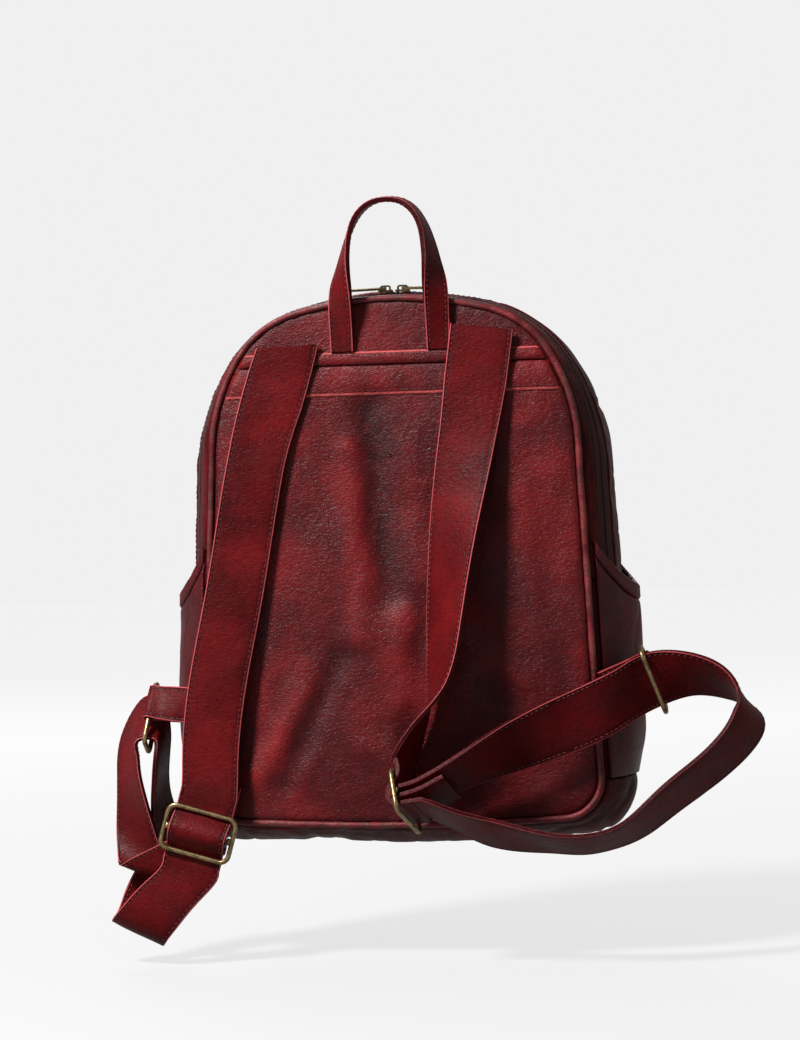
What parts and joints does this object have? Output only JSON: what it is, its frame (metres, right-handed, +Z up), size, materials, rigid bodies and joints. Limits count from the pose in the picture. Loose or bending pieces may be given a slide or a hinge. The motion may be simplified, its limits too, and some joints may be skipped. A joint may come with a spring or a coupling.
{
  "type": "leather backpack",
  "caption": "Small soft leather backpack with a domed top, carry handle, two adjustable shoulder straps, zipped main compartment, zipped front pocket and two open side pockets.",
  "frame": {"origin": "under the top of the carry handle, where the bag hangs, above the middle of the back panel", "axes": "+Z up, -Y out of the strap side towards the wearer, +Y out of the front pocket, +X to the right as seen from the strap side"},
  "size_m": [0.402, 0.1743, 0.4555],
  "materials": {
    "bag_leather": "mottled soft grain, satin",
    "strap_leather": "smooth, satin, painted edges",
    "piping_leather": "satin",
    "antique_brass": "darkened, rubbed bright on its edges",
    "zip_tape": "woven",
    "zip_coil": "satin",
    "lining_cloth": "plain weave"
  },
  "bodies": {
    "bag": {"back_panel": "bag_leather", "back_piping": "piping_leather", "back_yoke": "bag_leather", "base_gusset": "bag_leather", "carry_handle": "strap_leather", "front_panel": "bag_leather", "front_piping": "piping_leather", "front_pocket_gusset": "bag_leather", "front_pocket_panel": "bag_leather", "front_pocket_piping": "piping_leather", "front_zip_coil": "zip_coil", "front_zip_tape": "zip_tape", "lining": "lining_cloth", "lining_back": "lining_cloth", "lining_front": "lining_cloth", "main_zip_coil": "zip_coil", "main_zip_tape_back": "zip_tape", "main_zip_tape_front": "zip_tape", "pocket_welt": "bag_leather", "ring_tab_left": "strap_leather", "ring_tab_right": "strap_leather", "shoulder_strap_left": "strap_leather", "shoulder_strap_right": "strap_leather", "side_gusset_left": "bag_leather", "side_gusset_right": "bag_leather", "side_pocket_band_left": "bag_leather", "side_pocket_band_right": "bag_leather", "side_pocket_left": "bag_leather", "side_pocket_right": "bag_leather", "strap_loop_left": "strap_leather", "strap_loop_right": "strap_leather", "zip_strip_back": "bag_leather", "zip_strip_front": "bag_leather"},
    "adjuster_left": {"adjuster_frame_left": "antique_brass", "adjuster_bar_left": "antique_brass", "strap_in_adjuster_left": "strap_leather", "strap_end_left": "strap_leather"},
    "adjuster_right": {"adjuster_frame_right": "antique_brass", "adjuster_bar_right": "antique_brass", "strap_in_adjuster_right": "strap_leather", "strap_end_right": "strap_leather"},
    "ring_left": {"strap_ring_left": "antique_brass"},
    "ring_right": {"strap_ring_right": "antique_brass"},
    "main_slider_left": {"main_zip_slider_left": "antique_brass"},
    "main_slider_right": {"main_zip_slider_right": "antique_brass"},
    "main_pull_left": {"main_zip_pull_left": "antique_brass"},
    "main_pull_right": {"main_zip_pull_right": "antique_brass"},
    "front_slider": {"front_zip_slider": "antique_brass"},
    "front_pull": {"front_zip_pull": "antique_brass"}
  },
  "joints": [
    {"name": "left_adjuster_slide", "type": "slide", "parent": "bag", "child": "adjuster_left", "axis": [0.277, 0, 0.9609], "range_m": [0, 0.03], "deforming": ["shoulder_strap_left", "strap_loop_left"]},
    {"name": "right_adjuster_slide", "type": "slide", "parent": "bag", "child": "adjuster_right", "axis": [0.0499, -0.02, 0.9986], "range_m": [0, 0.02], "deforming": ["shoulder_strap_right", "strap_loop_right"]},
    {"name": "left_ring_swing", "type": "hinge", "parent": "bag", "child": "ring_left", "pos_m": [-0.15643, 0.00577, -0.30667], "axis": [-0.1, -0.5001, -0.8602], "range_deg": [-12, 12], "deforming": ["strap_loop_left"]},
    {"name": "right_ring_swing", "type": "hinge", "parent": "bag", "child": "ring_right", "pos_m": [0.15284, 0.01731, -0.29122], "axis": [0.3397, 0.1998, -0.9191], "range_deg": [-12, 12], "deforming": ["strap_loop_right"]},
    {"name": "main_zip_run_left", "type": "hinge", "parent": "bag", "child": "main_slider_left", "pos_m": [0, 0.022, -0.28299], "axis": [0, 1, 0], "range_deg": [-11, 0]},
    {"name": "main_zip_run_right", "type": "hinge", "parent": "bag", "child": "main_slider_right", "pos_m": [0, 0.022, -0.28299], "axis": [0, 1, 0], "range_deg": [0, 11]},
    {"name": "main_pull_lift_left", "type": "hinge", "parent": "main_slider_left", "child": "main_pull_left", "pos_m": [-0.00536, 0.02165, -0.05058], "axis": [-0.0034, 0.9893, 0.146], "range_deg": [0, 150]},
    {"name": "main_pull_lift_right", "type": "hinge", "parent": "main_slider_right", "child": "main_pull_right", "pos_m": [0.00536, 0.02165, -0.05058], "axis": [-0.0034, -0.9893, -0.146], "range_deg": [0, 150]},
    {"name": "front_zip_run", "type": "slide", "parent": "bag", "child": "front_slider", "axis": [1, 0, 0], "range_m": [-0.12, 0]},
    {"name": "front_pull_lift", "type": "hinge", "parent": "front_slider", "child": "front_pull", "pos_m": [0.063, 0.10745, -0.2215], "axis": [0, -1, 0], "range_deg": [0, 150]}
  ]
}
